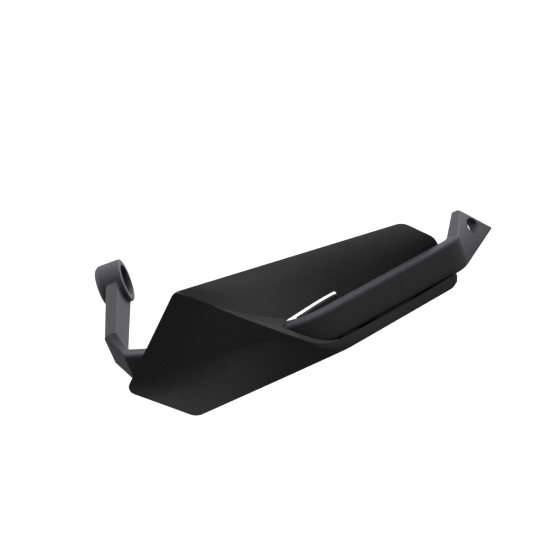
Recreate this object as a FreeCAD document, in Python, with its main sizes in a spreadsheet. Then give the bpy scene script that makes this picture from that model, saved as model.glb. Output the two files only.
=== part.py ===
import FreeCAD, Part
import math
import os

import Sketcher
from FreeCAD import Placement, Rotation, Vector

# A motorcycle handguard: a moulded backbone bar that carries a moulded shield.
# The origin is the bar-end bore on the boss's inner face, +X runs inward along the handlebar,
# +Y runs back to the rider and +Z is up. All sizes are in millimetres.

os.makedirs("parts", exist_ok=True)
doc = FreeCAD.newDocument("handguard")

# Driving sizes
sheet = doc.addObject("Spreadsheet::Sheet", "Sizes")
sizes = {
    "bar_height": 19.0,
    "bar_thickness": 8.0,
    "bar_edge": 2.0,
    "boss_diameter": 25.5,
    "boss_length": 16.0,
    "boss_outer_edge": 4.0,
    "boss_inner_edge": 1.0,
    "bar_end_bore": 8.5,
    "bar_end_seat": 18.5,
    "bar_end_seat_depth": 5.0,
    "arm_height": 21.0,
    "arm_inset": 1.0,
    "arm_set_out": 4.0,
    "arm_reach": 46.0,
    "arm_fall": 18.0,
    "bend_along": -6.0,
    "bend_reach": 53.0,
    "bend_fall": 28.5,
    "entry_along": 8.0,
    "entry_reach": 56.0,
    "entry_fall": 31.5,
    "level_along": 30.0,
    "level_reach": 64.0,
    "bar_drop": 28.0,
    "nose_along": 102.0,
    "nose_reach": 95.0,
    "nose_bend": 40.0,
    "fold_along": 191.0,
    "fold_reach": 59.2,
    "fold_bend": 9.0,
    "lug_along": 202.5,
    "lug_reach": 29.7,
    "lug_rise": 2.8,
    "lug_skew": 29.0,
    "lug_lean": 20.0,
    "lug_height": 26.5,
    "lug_thickness": 7.0,
    "lug_bore": 9.5,
    "lug_bore_from_end": 6.2,
    "wall_back": 2.6,
    "wall_down": 2.0,
    "bar_clearance": 1.5,
    "trough_gap": 2.5,
    "lip_thickness": 2.0,
    "trough_depth": 4.7,
    "lip_rise": 1.2,
    "trim_across": 11.0,
    "trim_down": 24.0,
    "top_corner_along": 40.3,
    "top_corner_reach": 85.0,
    "top_corner_height": 20.0,
    "tip_along": -14.0,
    "tip_reach": 62.0,
    "tip_depth": 38.0,
    "heel_along": 23.0,
    "heel_reach": 88.0,
    "heel_depth": 56.0,
    "prow_along": 97.0,
    "prow_reach": 100.0,
    "prow_depth": 25.0,
    "top_end_along": 169.0,
    "top_end_reach": 58.0,
    "top_end_height": 0.7,
    "roll_depth": 4.0,
    "roll_height": 6.0,
    "inner_end_along": 190.0,
    "inner_end_reach": 68.0,
    "inner_end_depth": 41.9,
    "end_edge_along": 183.5,
    "end_edge_reach": 58.0,
    "end_edge_depth": 14.0,
    "lower_edge_reach": 95.0,
    "lower_edge_first": 84.0,
    "lower_edge_first_depth": 47.4,
    "lower_edge_second": 119.4,
    "lower_edge_second_depth": 44.1,
    "lower_edge_bend": 60.0,
    "hem_first_along": 58.0,
    "hem_first_reach": 95.0,
    "hem_first_depth": 55.0,
    "hem_second_along": 92.0,
    "hem_second_reach": 98.0,
    "hem_second_depth": 50.0,
    "hem_fall": 10.0,
    "screw_diameter": 5.0,
    "screw_clearance": 0.4,
    "head_diameter": 9.5,
    "head_height": 3.0,
    "hex_width": 3.0,
    "hex_depth": 1.6,
    "washer_diameter": 11.0,
    "washer_thickness": 1.0,
    "insert_diameter": 7.0,
    "insert_length": 4.5,
    "screw_reach": 3.8,
    "seat_diameter": 13.0,
    "seat_back": 13.5,
    "head_way": 12.0,
    "outer_screw_from_level": 7.5,
    "inner_screw_first": 34.0,
    "inner_screw_pitch": 38.0,
    "slot_before": 8.0,
    "slot_after": 27.0,
    "slot_rise": 1.5,
    "slot_height": 4.0,
    "slot_corner": 1.8,
}
for row, (name, value) in enumerate(sizes.items(), start=1):
    sheet.set("A%d" % row, name)
    sheet.set("B%d" % row, str(value))
    sheet.setAlias("B%d" % row, name)
doc.recompute()


def size(name):
    return float(sheet.get(name))


def corner_arc(before, corner, after, radius):
    # The two tangent points and the middle point of the arc that rounds one corner.
    back = (before - corner).normalize()
    ahead = (after - corner).normalize()
    half = back.getAngle(ahead) / 2
    run = radius / math.tan(half)
    bisector = (back + ahead).normalize()
    middle = corner + bisector * (radius / math.sin(half) - radius)
    return corner + back * run, middle, corner + ahead * run


def rounded_path(points, radii):
    # An open line through the points, with each inner corner rounded.
    edges = []
    start = points[0]
    for index in range(1, len(points) - 1):
        around = points[index - 1 : index + 2]
        first, middle, last = corner_arc(*around, radii[index - 1])
        edges.append(Part.makeLine(start, first))
        edges.append(Part.Arc(first, middle, last).toShape())
        start = last
    edges.append(Part.makeLine(start, points[-1]))
    return Part.Wire(edges)


def rounded_outline(points, radii):
    # A closed outline with every corner rounded.
    count = len(points)
    arcs = [corner_arc(points[i - 1], points[i], points[(i + 1) % count], radii[i]) for i in range(count)]
    edges = []
    for index in range(count):
        first, middle, last = arcs[index]
        edges.append(Part.Arc(first, middle, last).toShape())
        edges.append(Part.makeLine(last, arcs[(index + 1) % count][0]))
    return Part.Wire(edges)


def rounded_section(name, thickness, height, edge, placement):
    # A rounded rectangle sketch: its X is the bar's thickness and its Y is the bar's height.
    sketch = doc.addObject("Sketcher::SketchObject", name)
    sketch.Placement = placement
    w, h, r = 4.0, 9.5, 2.0
    left, right, low, high = -w, w, -h, h
    flat = Vector(0, 0, 1)
    sketch.addGeometry(Part.LineSegment(Vector(left + r, low, 0), Vector(right - r, low, 0)))
    sketch.addGeometry(Part.LineSegment(Vector(right, low + r, 0), Vector(right, high - r, 0)))
    sketch.addGeometry(Part.LineSegment(Vector(right - r, high, 0), Vector(left + r, high, 0)))
    sketch.addGeometry(Part.LineSegment(Vector(left, high - r, 0), Vector(left, low + r, 0)))
    corners = [
        (right - r, low + r, -90),
        (right - r, high - r, 0),
        (left + r, high - r, 90),
        (left + r, low + r, 180),
    ]
    for x, y, angle in corners:
        circle = Part.Circle(Vector(x, y, 0), flat, r)
        sketch.addGeometry(Part.ArcOfCircle(circle, math.radians(angle), math.radians(angle + 90)))
    for line, arc, following in [(0, 4, 1), (1, 5, 2), (2, 6, 3), (3, 7, 0)]:
        sketch.addConstraint(Sketcher.Constraint("Tangent", line, 2, arc, 1))
        sketch.addConstraint(Sketcher.Constraint("Tangent", arc, 2, following, 1))
    for line in (0, 2):
        sketch.addConstraint(Sketcher.Constraint("Horizontal", line))
    for line in (1, 3):
        sketch.addConstraint(Sketcher.Constraint("Vertical", line))
    for arc in (5, 6, 7):
        sketch.addConstraint(Sketcher.Constraint("Equal", 4, arc))
    sketch.addConstraint(Sketcher.Constraint("Symmetric", 0, 1, 2, 1, -1, 1))
    wide = sketch.addConstraint(Sketcher.Constraint("DistanceX", 3, 1, 1, 1, 2 * w))
    tall = sketch.addConstraint(Sketcher.Constraint("DistanceY", 0, 1, 2, 1, 2 * h))
    round_edge = sketch.addConstraint(Sketcher.Constraint("Radius", 4, r))
    sketch.setExpression("Constraints[%d]" % wide, thickness)
    sketch.setExpression("Constraints[%d]" % tall, height)
    sketch.setExpression("Constraints[%d]" % round_edge, edge)
    return sketch


def upright(position, heading, lean=0.0):
    # A placement whose sketch normal is the heading and whose sketch Y is up, leaned about the heading.
    across = Vector(0, 0, 1).cross(heading).normalize()
    up = heading.cross(across).normalize()
    turn_to = Rotation(across, up, heading, "ZXY")
    return Placement(position, turn_to.multiply(Rotation(Vector(0, 0, 1), lean)))


def cylinder(name, diameter, length, base, axis):
    # A round bar from the base point along the axis, with its sizes bound to the sheet.
    solid = doc.addObject("Part::Cylinder", name)
    solid.setExpression("Radius", diameter + " / 2")
    solid.setExpression("Height", length)
    solid.Placement = Placement(base, Rotation(Vector(0, 0, 1), axis))
    return solid


def fuse(name, shapes):
    joined = doc.addObject("Part::MultiFuse", name)
    joined.Shapes = shapes
    return joined


def cut(name, base, tool):
    result = doc.addObject("Part::Cut", name)
    result.Base = base
    result.Tool = tool
    return result


# Points along the middle of the bar
boss_centre = Vector(-size("boss_length") / 2, 0, 0)
bar_level = -size("bar_drop")
arm_end = Vector(boss_centre.x - size("arm_set_out"), -size("arm_reach"), -size("arm_fall"))
bend = Vector(size("bend_along"), -size("bend_reach"), -size("bend_fall"))
entry = Vector(size("entry_along"), -size("entry_reach"), -size("entry_fall"))
level_start = Vector(size("level_along"), -size("level_reach"), bar_level)
nose = Vector(size("nose_along"), -size("nose_reach"), bar_level)
fold = Vector(size("fold_along"), -size("fold_reach"), bar_level)
lug = Vector(size("lug_along"), -size("lug_reach"), bar_level + size("lug_rise"))
lug_level = Vector(lug.x, lug.y, bar_level)
lug_start = corner_arc(nose, fold, lug_level, size("fold_bend"))[2]
outer_run = (nose - level_start).normalize()
inner_run = (fold - nose).normalize()
into_lug = (lug_level - fold).normalize()


def bar_station(name, position, heading, height="Sizes.bar_height"):
    # One cross-section of the bar, upright and facing along the heading.
    level = Vector(heading.x, heading.y, 0).normalize()
    return rounded_section(name, "Sizes.bar_thickness", height, "Sizes.bar_edge", upright(position, level))


# The level run behind and in front of the shield
path = doc.addObject("Part::Feature", "bar_path")
path_points = [level_start, nose, fold, lug_start + into_lug * 0.5]
path.Shape = rounded_path(path_points, [size("nose_bend"), size("fold_bend")])
path_end = path.Shape.Edges[-1].Vertexes[-1].Point
level_section = bar_station("level_section", level_start, outer_run)
level_run = doc.addObject("Part::Sweep", "level_run")
level_run.Sections = [level_section]
level_run.Spine = (path, ["Edge%d" % (i + 1) for i in range(len(path.Shape.Edges))])
level_run.Solid = True
level_run.Frenet = False

# The arm that falls from the boss and turns inward
forward = Vector(-0.08, -1, 0).normalize()
halfway = (forward + (bend - arm_end).normalize()).normalize()
arm_root = Vector(-size("arm_inset") - size("bar_thickness") / 2, 0, 0)
arm = doc.addObject("Part::Loft", "arm")
arm.Sections = [
    bar_station("arm_root_section", arm_root, forward, "Sizes.arm_height"),
    bar_station("arm_end_section", arm_end, halfway),
    bar_station("bend_section", bend, outer_run),
    bar_station("entry_section", entry, outer_run),
    level_section,
]
arm.Solid = True
arm.Ruled = True

inward = Vector(1, 0, 0)
boss_end = inward * -size("boss_length")
boss_blank = cylinder("boss_blank", "Sizes.boss_diameter", "Sizes.boss_length", boss_end, inward)
doc.recompute()
boss = doc.addObject("Part::Fillet", "boss")
boss.Base = boss_blank
boss_edges = []
for number, edge in enumerate(boss_blank.Shape.Edges, start=1):
    if not edge.Closed:
        continue
    outer = edge.CenterOfMass.x < -1
    radius = size("boss_outer_edge") if outer else size("boss_inner_edge")
    boss_edges.append((number, radius, radius))
boss.Edges = boss_edges

# The lug that folds back to the inner mount
skew = math.radians(size("lug_skew"))
lug_heading = Vector(into_lug.x * math.cos(skew), into_lug.y * math.cos(skew), math.sin(skew))
lug_near = bar_station("lug_near", path_end, into_lug)
lug_end = upright(lug, lug_heading, -size("lug_lean"))
lug_far = rounded_section("lug_far", "Sizes.lug_thickness", "Sizes.lug_height", "Sizes.bar_edge", lug_end)
lug_web = doc.addObject("Part::Loft", "lug_web")
lug_web.Sections = [lug_near, lug_far]
lug_web.Solid = True
lug_web.Ruled = False
lug_axis = lug_far.Placement.Rotation.multVec(Vector(-1, 0, 0))
lug_back = (path_end - lug).normalize()
lug_hole_centre = lug + lug_back * size("lug_bore_from_end")

bar_blank = fuse("bar_blank", [level_run, arm, boss, lug_web])

# Screw lines: one through the bar into the shield, two through the shield into the bar
outer_front = Vector(outer_run.y, -outer_run.x, 0).normalize()
inner_front = Vector(inner_run.y, -inner_run.x, 0)
half_bar = size("bar_thickness") / 2
outer_screw = level_start + outer_run * size("outer_screw_from_level")
inner_first = nose + inner_run * size("inner_screw_first")
inner_second = inner_first + inner_run * size("inner_screw_pitch")
screw_hole = "(Sizes.screw_diameter + Sizes.screw_clearance)"

lug_hole_start = lug_hole_centre - lug_axis * (1.5 * size("lug_thickness"))
outer_back = outer_screw - outer_front * half_bar
bores = [
    cylinder("bar_end_hole", "Sizes.bar_end_bore", "Sizes.boss_length", boss_end, inward),
    cylinder("bar_end_recess", "Sizes.bar_end_seat", "Sizes.bar_end_seat_depth", Vector(), -inward),
    cylinder("lug_hole", "Sizes.lug_bore", "Sizes.lug_thickness * 3", lug_hole_start, lug_axis),
    cylinder("outer_hole", screw_hole, "Sizes.bar_thickness", outer_back, outer_front),
]
for label, centre in (("first", inner_first), ("second", inner_second)):
    base = centre - inner_front * half_bar
    name = "inner_pocket_" + label
    bores.append(cylinder(name, "Sizes.insert_diameter", "Sizes.insert_length", base, inner_front))
backbone = cut("backbone_bar", bar_blank, fuse("bar_bores", bores))

# Guide lines of the shield's front skin
top_corner = Vector(size("top_corner_along"), -size("top_corner_reach"), size("top_corner_height"))
tip = Vector(size("tip_along"), -size("tip_reach"), -size("tip_depth"))
heel = Vector(size("heel_along"), -size("heel_reach"), -size("heel_depth"))
prow = Vector(size("prow_along"), -size("prow_reach"), -size("prow_depth"))
top_end = Vector(size("top_end_along"), -size("top_end_reach"), size("top_end_height"))
bar_foot = bar_level - size("bar_height") / 2


def beside_bar(along, front, height):
    # A point beside the inner run: distance from the nose, distance in front of the middle, height.
    spot = nose + inner_run * along + inner_front * front
    return Vector(spot.x, spot.y, height)


def between(first, second, share):
    return first + (second - first) * share


def at_along(first, second, along):
    # The point of a straight line whose distance along X is given.
    return between(first, second, (along - first.x) / (second.x - first.x))


stations_share = [0.0, 0.25, 0.47, 0.55, 0.63, 0.8, 1.0]


def guide(points):
    # A smooth line through the same number of stations as every other guide line.
    curve = Part.BSplineCurve()
    curve.interpolate(Points=points, Parameters=stations_share)
    return curve.toShape()


floor_front = -(half_bar + size("trough_gap"))
lip_front = half_bar + size("bar_clearance") + size("lip_thickness")
floor_height = bar_foot - size("trough_depth")
roll = Vector(0, -size("roll_depth"), -size("roll_height"))
over = Vector(0, 3.5, 1.5)
turn = between(prow, beside_bar(20, lip_front, bar_foot), 0.5)

# Crest of the prow, which goes on as the lip below the bar
crest = [
    top_corner + Vector(-1, 0.3, 1),
    between(top_corner, prow, 0.5),
    prow,
    turn + Vector(-1, -2, -3),
    beside_bar(20, lip_front, bar_foot + size("lip_rise")),
    beside_bar(60, lip_front, bar_foot + size("lip_rise")),
    beside_bar(105, lip_front, bar_foot + size("lip_rise")),
]
# Foot of the plate behind the bar
foot = [
    top_corner + Vector(-1, 2.3, 2.2),
    between(top_corner, prow, 0.5) + Vector(0, 2, 1.4),
    prow + Vector(-2.5, 10, 8),
    beside_bar(8, floor_front, bar_level),
    beside_bar(20, floor_front, floor_height),
    beside_bar(60, floor_front, floor_height),
    beside_bar(105, floor_front, floor_height),
]
# Bottom of the trough below the bar
gutter = [between(back, ahead, 0.5) for back, ahead in zip(foot[:4], crest[:4])] + [
    beside_bar(20, -1.5, floor_height),
    beside_bar(60, -1.5, floor_height),
    beside_bar(105, -1.5, floor_height),
]
rim_along = [top_corner.x + 1, 74, 100, 110, 122, 156, 204]
rim_line = [at_along(top_corner, top_end, along) for along in rim_along]
rim = [rim_line[0] + Vector(-1, 10, 9)] + [spot + over for spot in rim_line[1:]]
brow = [rim_line[0] + Vector(-1, 5.5, 6)] + [spot + roll for spot in rim_line[1:]]
# Valley between the outer facet and the lower facet
step = [
    between(prow, tip, 1.1),
    between(prow, tip, 0.45),
    prow + Vector(0, 0.4, -2.5),
    turn + Vector(-1, -2.3, -6),
    beside_bar(20, lip_front + 1, bar_foot - 2.5),
    beside_bar(60, lip_front + 0.6, bar_foot - 2.5),
    beside_bar(105, lip_front + 0.6, bar_foot - 2.5),
]
# Lower edge of the lower facet
hem_first = Vector(size("hem_first_along"), -size("hem_first_reach"), -size("hem_first_depth"))
hem_second = Vector(size("hem_second_along"), -size("hem_second_reach"), -size("hem_second_depth"))
hem_height = bar_foot - size("hem_fall")
hem_end = beside_bar(20, lip_front + 1.5, hem_height)
hem = [
    between(prow, heel, 1.2) + Vector(0, -1, -2),
    hem_first,
    hem_second,
    between(hem_second, hem_end, 0.6) + Vector(0, -1, 0),
    hem_end,
    beside_bar(60, lip_front + 1, hem_height),
    beside_bar(105, lip_front + 1, hem_height),
]


def strip(first, second):
    return Part.makeLoft([Part.Wire(guide(first)), Part.Wire(guide(second))], False, True).Faces


def blended(first, corner, last, near, far):
    # Two flat strips that meet at a corner line, with a rounded strip between them.
    start = [between(c, f, near) for f, c in zip(first, corner)]
    end = [between(c, l, far) for l, c in zip(last, corner)]
    middle = [between(between(a, b, 0.5), c, 0.5) for a, b, c in zip(start, end, corner)]
    rounded = Part.makeLoft([Part.Wire(guide(line)) for line in (start, middle, end)], False, False).Faces
    return strip(first, start) + rounded + strip(end, last)


upper = blended(rim, brow, foot, 0.6, 0.25)
shelf = strip(foot, gutter) + strip(gutter, crest)
lower = blended(crest, step, hem, 0.22, 0.2)
front = Part.makeShell(upper + shelf + lower)
front.sewShape()
wall = Vector(0, size("wall_back"), -size("wall_down"))
back = front.copy()
back.translate(wall)
sides = [edge.extrude(wall) for edge in front.getFreeEdges().Edges]
closed = Part.makeShell(front.Faces + back.Faces + sides)
closed.sewShape()
shell = Part.makeSolid(closed)
if shell.Volume < 0:
    shell.reverse()
moulding = doc.addObject("Part::Feature", "moulding")
moulding.Shape = shell

# Outline of the shield, trimmed along one slanting direction
across = math.radians(size("trim_across"))
down = math.radians(size("trim_down"))
trim = Vector(-math.tan(across), 1, -math.tan(down))
lower_reach = -size("lower_edge_reach")
lower_edge_first = Vector(size("lower_edge_first"), lower_reach, -size("lower_edge_first_depth"))
lower_edge_second = Vector(size("lower_edge_second"), lower_reach, -size("lower_edge_second_depth"))
inner_end = Vector(size("inner_end_along"), -size("inner_end_reach"), -size("inner_end_depth"))
end_edge = Vector(size("end_edge_along"), -size("end_edge_reach"), -size("end_edge_depth"))
outline = [
    (top_corner, 7),
    (tip, 5),
    (heel, 9),
    (lower_edge_first, size("lower_edge_bend")),
    (lower_edge_second, size("lower_edge_bend")),
    (inner_end, 9),
    (end_edge, 8),
    (top_end + Vector(1.5, 0, 0.3), 9),
]
flat = [spot + trim * (-130 - spot.y) for spot, radius in outline]
outline_face = Part.Face(rounded_outline(flat, [radius for spot, radius in outline]))
outline_solid = doc.addObject("Part::Feature", "outline")
outline_solid.Shape = outline_face.extrude(trim * 110)
trimmed = doc.addObject("Part::Common", "trimmed")
trimmed.Base = moulding
trimmed.Tool = outline_solid

# The way for the bar through the shield
bar_way_section = rounded_section(
    "bar_way_section",
    "Sizes.bar_thickness + 2 * Sizes.bar_clearance",
    "Sizes.bar_height + 2 * Sizes.bar_clearance",
    "Sizes.bar_edge",
    level_section.Placement,
)
bar_way = doc.addObject("Part::Sweep", "bar_way")
bar_way.Sections = [bar_way_section]
bar_way.Spine = level_run.Spine
bar_way.Solid = True
bar_way.Frenet = False
slot = doc.addObject("Part::Feature", "slot")
slot_top = bar_level + size("bar_height") / 2 + size("slot_rise")
slot_foot = slot_top - size("slot_height")
slot_corners = [
    beside_bar(-size("slot_before"), -30, slot_foot),
    beside_bar(size("slot_after"), -30, slot_foot),
    beside_bar(size("slot_after"), -30, slot_top),
    beside_bar(-size("slot_before"), -30, slot_top),
]
slot_face = Part.Face(rounded_outline(slot_corners, [size("slot_corner")] * 4))
slot.Shape = slot_face.extrude(inner_front * (30 - half_bar + 2))

# Seats that meet the bar, and their screw holes
seat_length = "Sizes.seat_back - Sizes.bar_thickness / 2"
washer_way = "(Sizes.washer_diameter + Sizes.screw_clearance)"
seats = []
holes = []
for label, centre in (("first", inner_first), ("second", inner_second)):
    base = centre - inner_front * size("seat_back")
    seats.append(cylinder("seat_" + label, "Sizes.seat_diameter", seat_length, base, inner_front))
    holes.append(cylinder("hole_" + label, screw_hole, "Sizes.seat_back", base, inner_front))
    holes.append(cylinder("head_way_" + label, washer_way, "Sizes.head_way", base, -inner_front))
outer_face = outer_screw + outer_front * half_bar
outer_seat = cylinder("seat_outer", "Sizes.seat_diameter", "Sizes.insert_length + 1", outer_face, outer_front)
insert_size = ("Sizes.insert_diameter", "Sizes.insert_length")
holes.append(cylinder("pocket_outer", *insert_size, outer_face, outer_front))
opened = cut("opened", trimmed, fuse("bar_ways", [bar_way, slot]))
seated = fuse("seated", [opened] + seats + [outer_seat])
shield = cut("shield", seated, fuse("shield_holes", holes))

# Screws, washers and inserts
screw_solids = []
washer_solids = []
insert_solids = []
to_seat = inner_front * size("seat_back")
to_bar = inner_front * half_bar
stations = [
    ("outer", outer_back, outer_face, outer_front, "Sizes.bar_thickness"),
    ("first", inner_first - to_seat, inner_first - to_bar, inner_front, seat_length),
    ("second", inner_second - to_seat, inner_second - to_bar, inner_front, seat_length),
]
for label, seat, meeting, ahead, clamped in stations:
    under_head = seat - ahead * size("washer_thickness")
    shank_length = "Sizes.washer_thickness + %s + Sizes.screw_reach" % clamped
    head_back = under_head - ahead * size("head_height")
    head = cylinder("head_" + label, "Sizes.head_diameter", "Sizes.head_height", head_back, ahead)
    shank = cylinder("shank_" + label, "Sizes.screw_diameter", shank_length, under_head, ahead)
    socket = doc.addObject("Part::Prism", "socket_" + label)
    socket.Polygon = 6
    socket.setExpression("Circumradius", "Sizes.hex_width / sqrt(3)")
    socket.setExpression("Height", "Sizes.hex_depth")
    socket.Placement = Placement(head_back, Rotation(Vector(0, 0, 1), ahead))
    screw_solids.append(cut("screw_" + label, fuse("screw_blank_" + label, [head, shank]), socket))
    washer_length = "Sizes.washer_thickness"
    disc = cylinder("washer_disc_" + label, "Sizes.washer_diameter", washer_length, under_head, ahead)
    washer_hole = cylinder("washer_hole_" + label, screw_hole, washer_length, under_head, ahead)
    washer_solids.append(cut("washer_" + label, disc, washer_hole))
    insert_length = "Sizes.insert_length"
    sleeve = cylinder("insert_sleeve_" + label, "Sizes.insert_diameter", insert_length, meeting, ahead)
    thread = cylinder("insert_thread_" + label, "Sizes.screw_diameter", insert_length, meeting, ahead)
    insert_solids.append(cut("insert_" + label, sleeve, thread))

screws = doc.addObject("Part::Compound", "shield_screws")
screws.Links = screw_solids
washers = doc.addObject("Part::Compound", "screw_washers")
washers.Links = washer_solids
inserts = doc.addObject("Part::Compound", "threaded_inserts")
inserts.Links = insert_solids
doc.recompute()

# Check everything, then write the files
nodes = [backbone, shield, screws, washers, inserts]
for thing in doc.Objects:
    if "Invalid" in thing.State or "Error" in thing.State:
        raise RuntimeError("%s did not build" % thing.Name)
for node in nodes:
    if node.Shape.isNull() or not node.Shape.isValid():
        raise RuntimeError("%s is not a valid shape" % node.Name)
    print(node.Name, len(node.Shape.Solids), round(node.Shape.Volume, 1))
for node in nodes:
    node.Label = node.Name
    node.Shape.exportStep("parts/%s.step" % node.Label)
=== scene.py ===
# %% [markdown]
# A motorcycle handguard shields the rider's hand from wind and branches. Its backbone bar is
# bolted to the end of the handlebar and to a clamp further in, and carries a black moulded shield.
# The solids come ready from the CAD model, so this lesson is about what makes a moulded part look
# real: the fine grain of the tool, the sheen of each plastic, two thin walls of the shield beside
# the bar, and soft light that shows the facets.

# %% Load the solids
import bmesh
import bpy
from mathutils import Matrix, Vector


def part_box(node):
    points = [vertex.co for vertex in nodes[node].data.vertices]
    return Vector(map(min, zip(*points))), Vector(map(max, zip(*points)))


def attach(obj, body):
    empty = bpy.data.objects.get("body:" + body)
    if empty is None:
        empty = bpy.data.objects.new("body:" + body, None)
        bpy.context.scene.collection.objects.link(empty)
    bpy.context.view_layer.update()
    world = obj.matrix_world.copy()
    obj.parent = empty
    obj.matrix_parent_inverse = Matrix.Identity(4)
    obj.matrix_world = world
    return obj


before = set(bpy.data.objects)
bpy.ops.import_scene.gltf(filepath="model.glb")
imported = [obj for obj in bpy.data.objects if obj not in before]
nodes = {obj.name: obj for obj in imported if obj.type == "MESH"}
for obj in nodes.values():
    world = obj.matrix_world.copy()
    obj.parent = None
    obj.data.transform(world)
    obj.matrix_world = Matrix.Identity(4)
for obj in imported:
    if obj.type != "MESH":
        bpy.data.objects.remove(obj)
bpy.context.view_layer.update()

for name in sorted(nodes):
    low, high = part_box(name)
    print(name, [round(1000 * (b - a), 1) for a, b in zip(low, high)], "mm")

# %% [markdown]
# Both plastics have a spark-eroded grain: tiny even pits that scatter the light. It could be an
# image, but noise has no seams and no end. Noise of two sizes gives the pits and the slight
# waviness below them. Two materials use it with their own sizes, so it is a node group.

# %% Tools for building shader nodes
noise_low, noise_high = 0.3, 0.7


def new_group(name, inputs, outputs):
    # An empty shader group with number sockets, and its input and output nodes.
    tree = bpy.data.node_groups.new(name, "ShaderNodeTree")
    for socket in inputs:
        tree.interface.new_socket(socket, in_out="INPUT", socket_type="NodeSocketFloat")
    for socket in outputs:
        tree.interface.new_socket(socket, in_out="OUTPUT", socket_type="NodeSocketFloat")
    return tree, tree.nodes.new("NodeGroupInput"), tree.nodes.new("NodeGroupOutput")


def feed(tree, socket, value):
    # Sets a plain number on the socket, or links another node's output to it.
    if isinstance(value, (int, float)):
        socket.default_value = value
    else:
        tree.links.new(value, socket)


def noise(tree, scale, detail, roughness=0.5):
    # Noise in the object's own coordinates, which are metres in the shared frame.
    place = tree.nodes.new("ShaderNodeTexCoord")
    texture = tree.nodes.new("ShaderNodeTexNoise")
    feed(tree, texture.inputs["Scale"], scale)
    texture.inputs["Detail"].default_value = detail
    texture.inputs["Roughness"].default_value = roughness
    tree.links.new(place.outputs["Object"], texture.inputs["Vector"])
    return texture.outputs["Fac"]


def calculate(tree, operation, first, second):
    # A Math node with two inputs.
    node = tree.nodes.new("ShaderNodeMath")
    node.operation = operation
    feed(tree, node.inputs[0], first)
    feed(tree, node.inputs[1], second)
    return node.outputs[0]


def spread(tree, value, low, high):
    # Maps the span in which noise mostly lies onto the wanted span.
    node = tree.nodes.new("ShaderNodeMapRange")
    node.inputs["From Min"].default_value = noise_low
    node.inputs["From Max"].default_value = noise_high
    node.inputs["To Min"].default_value = low
    node.inputs["To Max"].default_value = high
    tree.links.new(value, node.inputs["Value"])
    return node.outputs["Result"]


print("noise is read from", noise_low, "to", noise_high)

# %% The moulded grain as a node group
wave_share = 0.8

grain, grain_in, grain_out = new_group(
    "moulded_grain", ["Pit Scale", "Wave Scale"], ["Height", "Fleck"]
)
pits = noise(grain, grain_in.outputs["Pit Scale"], detail=3.0, roughness=0.6)
waves = noise(grain, grain_in.outputs["Wave Scale"], detail=2.0)
height = calculate(grain, "ADD", pits, calculate(grain, "MULTIPLY", waves, wave_share))
grain.links.new(height, grain_out.inputs["Height"])
grain.links.new(spread(grain, pits, 0.0, 1.0), grain_out.inputs["Fleck"])
print("grain group:", len(grain.nodes), "nodes")

# %% [markdown]
# Handled plastic and metal are never evenly dull: finger marks and release agent leave broad,
# faint clouds in the sheen. A second group makes that cloud once. On plastic it moves the
# roughness, and on metal the colour.

# %% The handling cloud as a node group
cloud, cloud_in, cloud_out = new_group("handling_cloud", ["Scale"], ["Cloud"])
broad = noise(cloud, cloud_in.outputs["Scale"], detail=4.0, roughness=0.6)
cloud.links.new(spread(cloud, broad, 0.0, 1.0), cloud_out.inputs["Cloud"])
print("cloud group:", len(cloud.nodes), "nodes")

# %% [markdown]
# The shield is black polypropylene and the bar is glass-filled nylon, which is a little greyer
# and drier. One recipe serves both: the flecks of the grain lift the colour, the cloud moves the
# roughness, and the grain goes through a Bump node into the normal. A low specular level keeps
# the dark facets dark in a white studio.


# %% Tools for materials
def new_material(name):
    material = bpy.data.materials.new(name)
    material.use_nodes = True
    return material, material.node_tree, material.node_tree.nodes["Principled BSDF"]


def use_group(tree, group, values):
    # Places the group in a material, with this material's own values.
    node = tree.nodes.new("ShaderNodeGroup")
    node.node_tree = group
    for socket, value in values.items():
        node.inputs[socket].default_value = value
    return node


def two_tone(tree, mask, dark, light):
    # A colour that runs from dark to light as the mask goes from 0 to 1.
    ramp = tree.nodes.new("ShaderNodeValToRGB")
    ramp.color_ramp.elements[0].color = (*dark, 1)
    ramp.color_ramp.elements[1].color = (*light, 1)
    tree.links.new(mask, ramp.inputs["Fac"])
    return ramp.outputs["Color"]


print("materials that came with the solids:", len(bpy.data.materials))

# %% The two plastics
wave_scale, plastic_cloud_scale = 160.0, 22.0
bump_strength = 0.5
plastic_specular = 0.02


def moulded_plastic(name, dark, light, dullest, shiniest, pit_depth, pit_scale):
    material, tree, shader = new_material(name)
    skin = use_group(tree, grain, {"Pit Scale": pit_scale, "Wave Scale": wave_scale})
    marks = use_group(tree, cloud, {"Scale": plastic_cloud_scale})
    colour = two_tone(tree, skin.outputs["Fleck"], dark, light)
    tree.links.new(colour, shader.inputs["Base Color"])
    sheen = tree.nodes.new("ShaderNodeMapRange")
    sheen.inputs["To Min"].default_value = dullest
    sheen.inputs["To Max"].default_value = shiniest
    tree.links.new(marks.outputs["Cloud"], sheen.inputs["Value"])
    tree.links.new(sheen.outputs["Result"], shader.inputs["Roughness"])
    bump = tree.nodes.new("ShaderNodeBump")
    bump.inputs["Strength"].default_value = bump_strength
    bump.inputs["Distance"].default_value = pit_depth
    tree.links.new(skin.outputs["Height"], bump.inputs["Height"])
    tree.links.new(bump.outputs["Normal"], shader.inputs["Normal"])
    shader.inputs["Specular IOR Level"].default_value = plastic_specular
    return material


black_plastic = moulded_plastic(
    "black_moulding",
    dark=(0.038, 0.038, 0.039),
    light=(0.056, 0.056, 0.058),
    dullest=0.62,
    shiniest=0.48,
    pit_depth=0.00009,
    pit_scale=1500.0,
)
bar_plastic = moulded_plastic(
    "charcoal_nylon",
    dark=(0.050, 0.050, 0.052),
    light=(0.074, 0.074, 0.078),
    dullest=0.66,
    shiniest=0.52,
    pit_depth=0.00012,
    pit_scale=1300.0,
)
print("plastics:", black_plastic.name, bar_plastic.name)

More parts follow.
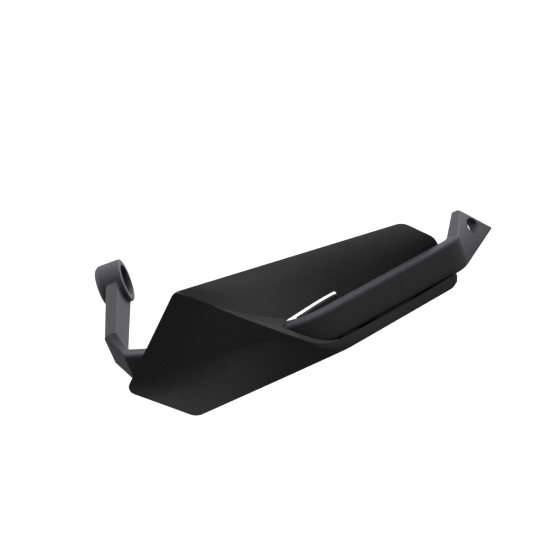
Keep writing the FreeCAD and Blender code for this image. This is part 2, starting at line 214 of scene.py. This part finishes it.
# %% [markdown]
# The fasteners are zinc-plated steel and turned brass. Both are metallic, so their colour is the
# colour of the reflection, and fine noise in the roughness breaks it up as plating does.

# %% The two metals
plating_scale, metal_cloud_scale = 900.0, 60.0


def plated_metal(name, dark, light, dullest, shiniest):
    material, tree, shader = new_material(name)
    marks = use_group(tree, cloud, {"Scale": metal_cloud_scale})
    shader.inputs["Metallic"].default_value = 1.0
    colour = two_tone(tree, marks.outputs["Cloud"], dark, light)
    tree.links.new(colour, shader.inputs["Base Color"])
    fine = noise(tree, plating_scale, detail=3.0)
    tree.links.new(spread(tree, fine, dullest, shiniest), shader.inputs["Roughness"])
    return material


screw_steel = plated_metal(
    "plated_steel",
    dark=(0.22, 0.22, 0.23),
    light=(0.34, 0.34, 0.35),
    dullest=0.48,
    shiniest=0.32,
)
insert_brass = plated_metal(
    "turned_brass",
    dark=(0.52, 0.38, 0.15),
    light=(0.68, 0.51, 0.22),
    dullest=0.40,
    shiniest=0.26,
)
print("metals:", screw_steel.name, insert_brass.name)

# %% [markdown]
# Each solid is one moulding or one kind of fastener, so each takes a single material. The screws
# and washers share the plated steel.

# %% A finish for each solid
finishes = {
    "backbone_bar": bar_plastic,
    "shield": black_plastic,
    "shield_screws": screw_steel,
    "screw_washers": screw_steel,
    "threaded_inserts": insert_brass,
}
for name, material in finishes.items():
    slots = nodes[name].data.materials
    slots.clear()
    slots.append(material)
    print(name, "->", material.name)

# %% [markdown]
# Below the bar the shield forms a trough, and a thin web joins the trough's floor to the lip in
# front. It could be a plain box, but a moulded web is a sheet with an even wall and softened
# edges, so a grid is given a thickness with solidify and its sharp edges get a small bevel.
# The sheet is shaped in the bar's own directions: along it, ahead of it and up.

# %% Tools for moulded pieces
touching = 0.0001
sharp_angle = 1.0
moulded_edge = 0.0003


def sharp_edges(shape):
    return [edge for edge in shape.edges if edge.calc_face_angle(0.0) > sharp_angle]


def soften(shape, edges):
    # The small rounding that every moulded edge has.
    bmesh.ops.bevel(
        shape,
        geom=edges,
        offset=moulded_edge,
        segments=2,
        profile=0.5,
        affect="EDGES",
        material=-1,
    )


def new_piece(name, shape, material):
    # Turns a finished bmesh into an object with one material.
    mesh = bpy.data.meshes.new(name)
    shape.to_mesh(mesh)
    shape.free()
    mesh.materials.append(material)
    piece = bpy.data.objects.new(name, mesh)
    bpy.context.collection.objects.link(piece)
    print(name, len(mesh.polygons), "faces")
    return piece


print("moulded edges are rounded by", 1000 * moulded_edge, "mm")

# %% The web's sheet, in the bar's directions
bar_foot = Vector((0.102, -0.095, -0.0375))
along = Vector((0.0890, 0.0358, 0.0)).normalized()
ahead = Vector((along.y, -along.x, 0.0))
web_start, web_end = 0.002, 0.0895
web_back, web_front = -0.0068, 0.0065
web_depth = 0.0044

web = bmesh.new()
bmesh.ops.create_grid(web, x_segments=34, y_segments=3, size=0.5)
bmesh.ops.scale(web, verts=web.verts, vec=(web_end - web_start, web_front - web_back, 1.0))
middle = Vector(((web_start + web_end) / 2, (web_back + web_front) / 2, -web_depth))
bmesh.ops.translate(web, verts=web.verts, vec=middle)
print("web:", round(1000 * (web_end - web_start), 1), "mm long")

# %% [markdown]
# Near the nose the trough narrows in front and widens behind, so the sheet's edges move back
# there. Its outer end turns up under the bar, and its inner end climbs with the shield's lower
# edge. Both turns are rotations of the vertices past a fold line.

# %% The web's two ends
root_end, root_back = 0.024, 0.0016
toe_end, toe_back = 0.007, 0.0022
outer_fold, outer_turn = 0.014, 0.22
inner_fold, inner_climb = 0.058, 0.085
web_wall = 0.0015

root = [v for v in web.verts if v.co.x < root_end and v.co.y < web_back + touching]
bmesh.ops.translate(web, verts=root, vec=(0.0, -root_back, 0.0))
toe = [v for v in web.verts if v.co.x < toe_end and v.co.y > web_front - touching]
bmesh.ops.translate(web, verts=toe, vec=(0.0, -toe_back, 0.0))
climbing = [v for v in web.verts if v.co.x > inner_fold]
turned = [v for v in web.verts if v.co.x < outer_fold]
for verts, fold, angle in ((climbing, inner_fold, -inner_climb), (turned, outer_fold, outer_turn)):
    tilt = Matrix.Rotation(angle, 3, "Y")
    bmesh.ops.rotate(web, verts=verts, cent=(fold, 0.0, -web_depth), matrix=tilt)
bmesh.ops.solidify(web, geom=web.faces[:], thickness=web_wall)
soften(web, sharp_edges(web))

to_bar = Matrix((along, ahead, Vector((0, 0, 1)))).transposed().to_4x4()
bmesh.ops.transform(web, matrix=Matrix.Translation(bar_foot) @ to_bar, verts=web.verts)
bmesh.ops.recalc_face_normals(web, faces=web.faces)
trough_web = new_piece("trough_web", web, black_plastic)
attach(trough_web, "root")

# %% [markdown]
# Light shows through a narrow window between the plate and the bar. Its lower edge has a low sill
# that stands up from the plate's wall. The sill has the wall's own thickness, so the faces below
# it are copied from the shield's mesh and extruded upwards, which fits it to the wall without
# measuring. Its inner end is drawn out to cover the window's rounded corner.

# %% The sill of the window
window_foot, window_corner = -0.021, 0.0018
level_facing = 0.9
sill_rise = 0.0018

sill = bmesh.new()
sill.from_mesh(nodes["shield"].data)
bmesh.ops.transform(sill, matrix=nodes["shield"].matrix_world, verts=sill.verts)


def on_window_foot(face):
    level = face.normal.z >= level_facing
    return level and abs(face.calc_center_median().z - window_foot) <= touching


def past_nose(vert):
    return (vert.co - bar_foot).dot(along)


others = [face for face in sill.faces if not on_window_foot(face)]
bmesh.ops.delete(sill, geom=others, context="FACES")
raised = bmesh.ops.extrude_face_region(sill, geom=sill.faces[:])["geom"]
top = [part for part in raised if isinstance(part, bmesh.types.BMVert)]
bmesh.ops.translate(sill, verts=top, vec=(0.0, 0.0, sill_rise))
inner_end = max(past_nose(v) for v in top)
last = [v for v in top if past_nose(v) > inner_end - touching]
bmesh.ops.translate(sill, verts=last, vec=along * window_corner)
bmesh.ops.recalc_face_normals(sill, faces=sill.faces)
soften(sill, [edge for edge in sharp_edges(sill) if all(v in top for v in edge.verts)])
window_sill = new_piece("window_sill", sill, black_plastic)
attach(window_sill, "root")

# %% [markdown]
# The photograph is a studio picture on white. A wide floor below the part catches its shadow. A
# white that came from more light would wash out the part, so the paper and the world glow only
# for rays that come from the camera, from a shiny surface or through glass.

# %% White paper
floor_level, floor_half = -0.16, 6.0
paper_grey, paper_glow = 0.12, 0.88


def seen_rays(tree):
    # One for rays from the camera, from a shiny surface or through glass, else nought.
    path = tree.nodes.new("ShaderNodeLightPath")
    direct = calculate(
        tree, "MAXIMUM", path.outputs["Is Camera Ray"], path.outputs["Is Glossy Ray"]
    )
    return calculate(tree, "MAXIMUM", direct, path.outputs["Is Transmission Ray"])


paper_white, paper_tree, paper_shader = new_material("paper_white")
paper_shader.inputs["Base Color"].default_value = (paper_grey, paper_grey, paper_grey, 1)
paper_shader.inputs["Roughness"].default_value = 1.0
paper_shader.inputs["Emission Color"].default_value = (1, 1, 1, 1)
glow = calculate(paper_tree, "MULTIPLY", seen_rays(paper_tree), paper_glow)
paper_tree.links.new(glow, paper_shader.inputs["Emission Strength"])

paper = bmesh.new()
bmesh.ops.create_grid(paper, x_segments=1, y_segments=1, size=floor_half)
bmesh.ops.translate(paper, verts=paper.verts, vec=(0, 0, floor_level))
floor = new_piece("floor", paper, paper_white)

# %% The world
ambient_light = 0.06

world = bpy.data.worlds.new("studio")
bpy.context.scene.world = world
world.use_nodes = True
sky = world.node_tree.nodes["Background"]
sky.inputs["Color"].default_value = (1, 1, 1, 1)
ambient = calculate(world.node_tree, "MAXIMUM", seen_rays(world.node_tree), ambient_light)
world.node_tree.links.new(ambient, sky.inputs["Strength"])
print("world lights the part at", ambient_light)

# %% [markdown]
# Most light comes from behind and from the right: the arm's inner face and the top of the bar are
# bright, the faces turned to the front stay dim, and the outer facet is nearly black. Weaker
# lamps overhead, to the right and to the left fill in the rest. Area lamps are used because a
# moulded matt surface needs soft, wide highlights.

# %% Lamps
target = Vector((0.095, -0.066, -0.010))
lamp_distance = 1.2


def softbox(name, towards, side, power):
    lamp = bpy.data.lights.new(name, "AREA")
    lamp.shape = "SQUARE"
    lamp.size = side
    lamp.energy = power
    place = bpy.data.objects.new(name, lamp)
    place.location = target + Vector(towards).normalized() * lamp_distance
    place.rotation_euler = (target - place.location).to_track_quat("-Z", "Y").to_euler()
    bpy.context.collection.objects.link(place)
    print(name, [round(c, 2) for c in place.location])


softbox("overhead", (0.05, -0.15, 0.98), side=0.35, power=9.0)
softbox("back", (0.2, 0.6, 0.77), side=0.5, power=15.0)
softbox("side", (0.6, 0.78, 0.1), side=0.4, power=25.0)
softbox("right", (1.0, 0.0, 0.3), side=0.4, power=5.0)
softbox("left", (-0.85, 0.35, 0.4), side=0.4, power=14.0)

# %% [markdown]
# The photograph was taken from far away, so its lines stay parallel. A long lens three metres off
# does the same. Its axes were found by laying the solids over the photograph.

# %% Camera
view_right = Vector((0.927, 0.013, -0.376)).normalized()
towards_camera = Vector((0.176, -0.899, 0.402))
towards_camera = (towards_camera - view_right * towards_camera.dot(view_right)).normalized()
view_up = towards_camera.cross(view_right)
picture_centre = Vector((0.0949, -0.0664, -0.0032))
camera_distance = 3.0
picture_width = 0.3146

lens = bpy.data.cameras.new("camera")
lens.sensor_width = 36.0
lens.lens = lens.sensor_width * camera_distance / picture_width
lens.clip_end = 100.0
camera = bpy.data.objects.new("camera", lens)
turn = Matrix((view_right, view_up, towards_camera)).transposed().to_4x4()
spot = picture_centre + towards_camera * camera_distance
camera.matrix_world = Matrix.Translation(spot) @ turn
bpy.context.collection.objects.link(camera)
bpy.context.scene.camera = camera
bpy.context.scene.view_settings.view_transform = "Standard"
print("lens", round(lens.lens, 1), "mm")
